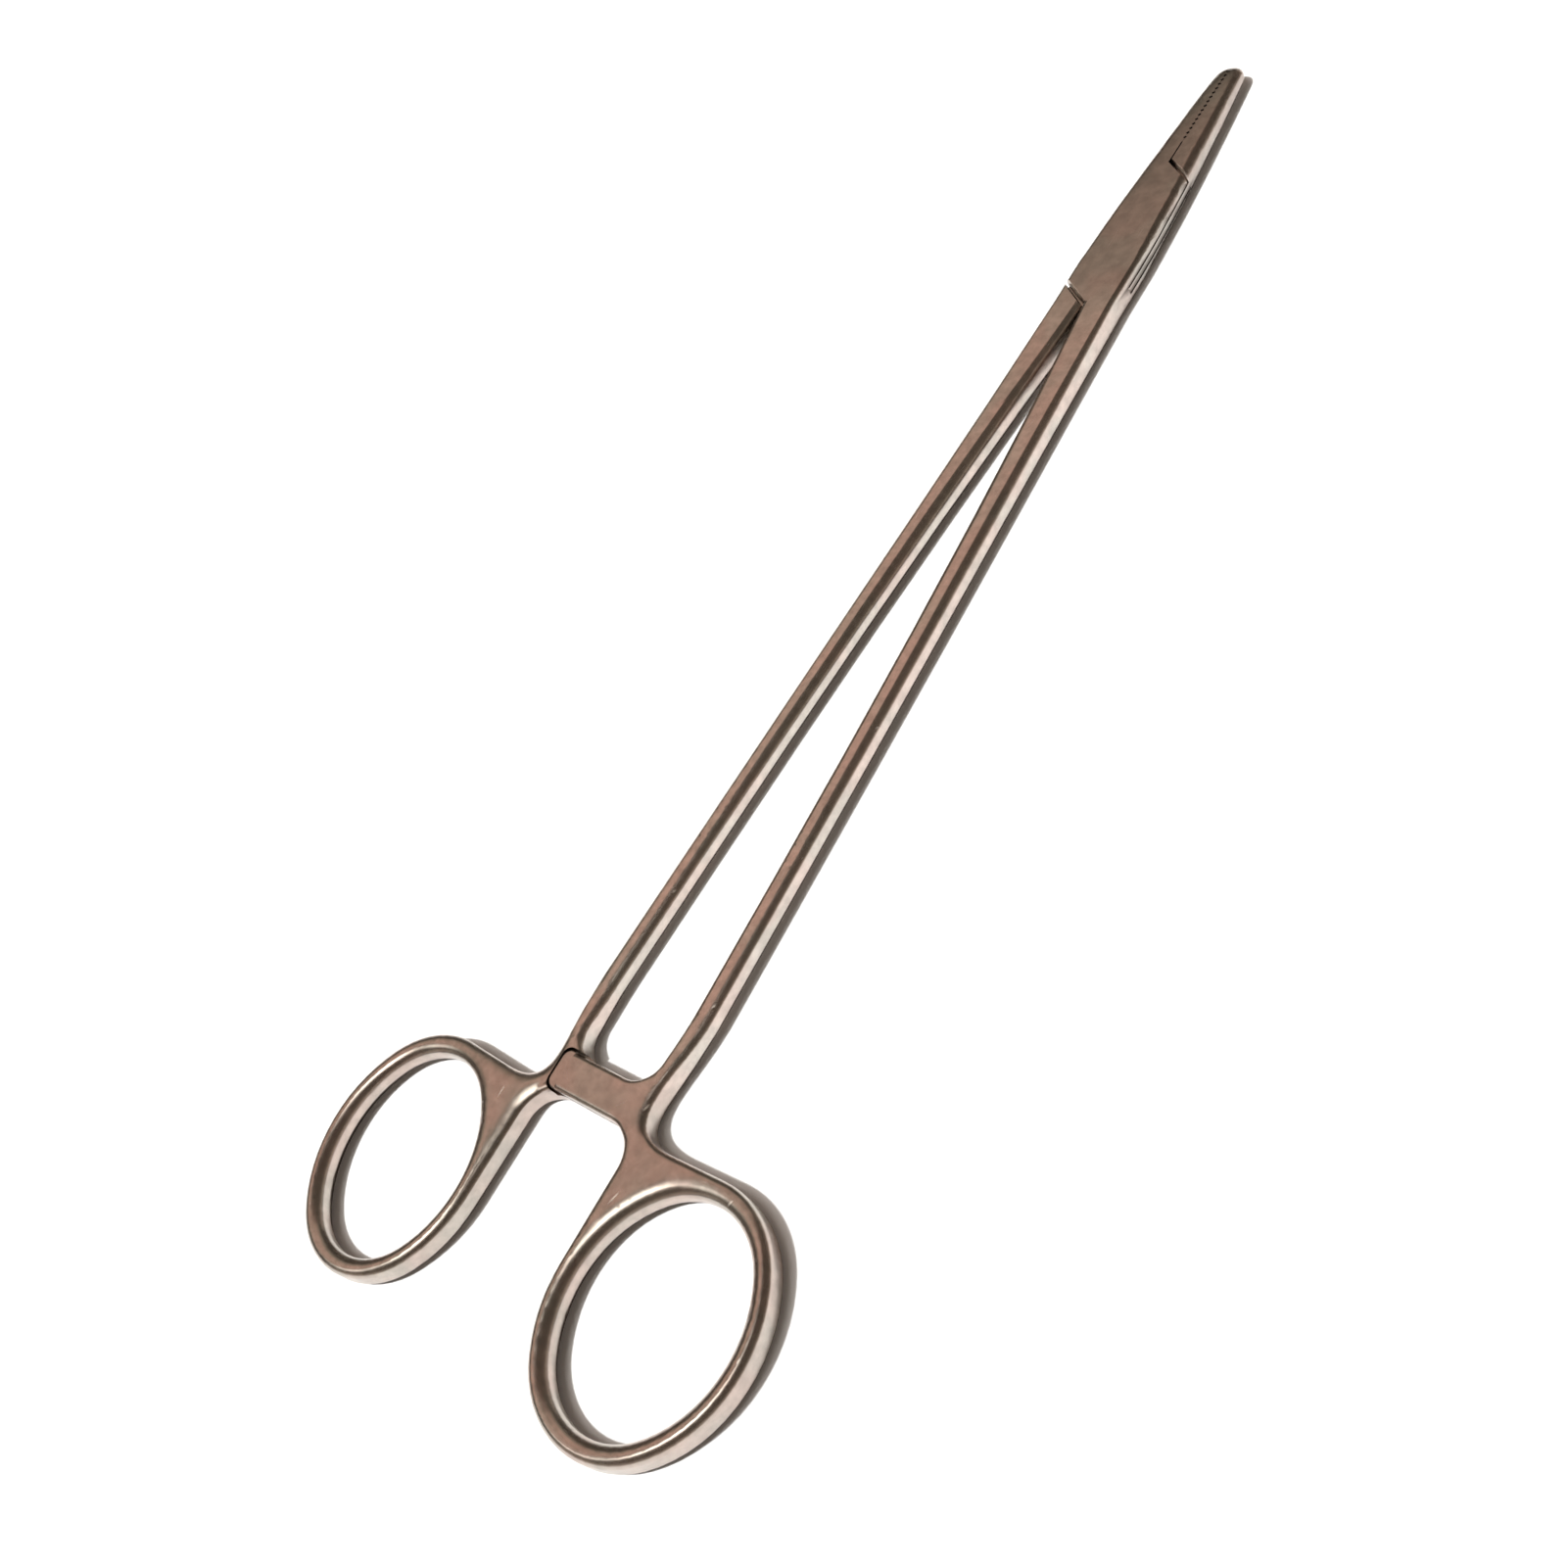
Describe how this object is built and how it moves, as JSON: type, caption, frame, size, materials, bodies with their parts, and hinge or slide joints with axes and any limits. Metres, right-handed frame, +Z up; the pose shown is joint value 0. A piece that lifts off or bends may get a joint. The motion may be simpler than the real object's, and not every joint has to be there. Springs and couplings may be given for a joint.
{
  "type": "surgical needle holder",
  "caption": "Straight surgical needle holder: cross-serrated jaws, box lock, long slim shanks, ratchet arms and oval finger rings.",
  "frame": {"origin": "centre of the bounding box in plan, on the face the closed instrument rests on", "axes": "+Y from the finger rings to the jaw tips, +Z up out of the flat side, +X across towards the ring of the half with the box walls"},
  "size_m": [0.071, 0.2, 0.0036],
  "materials": {
    "satin_steel": "satin"
  },
  "bodies": {
    "female": {"female_half": "satin_steel", "pivot_pin": "satin_steel"},
    "male": {"male_half": "satin_steel"}
  },
  "joints": [
    {"name": "pivot", "type": "hinge", "parent": "female", "child": "male", "pos_m": [0, 0.067, 0.0018], "axis": [0, 0, -1], "range_deg": [0, 35]}
  ]
}
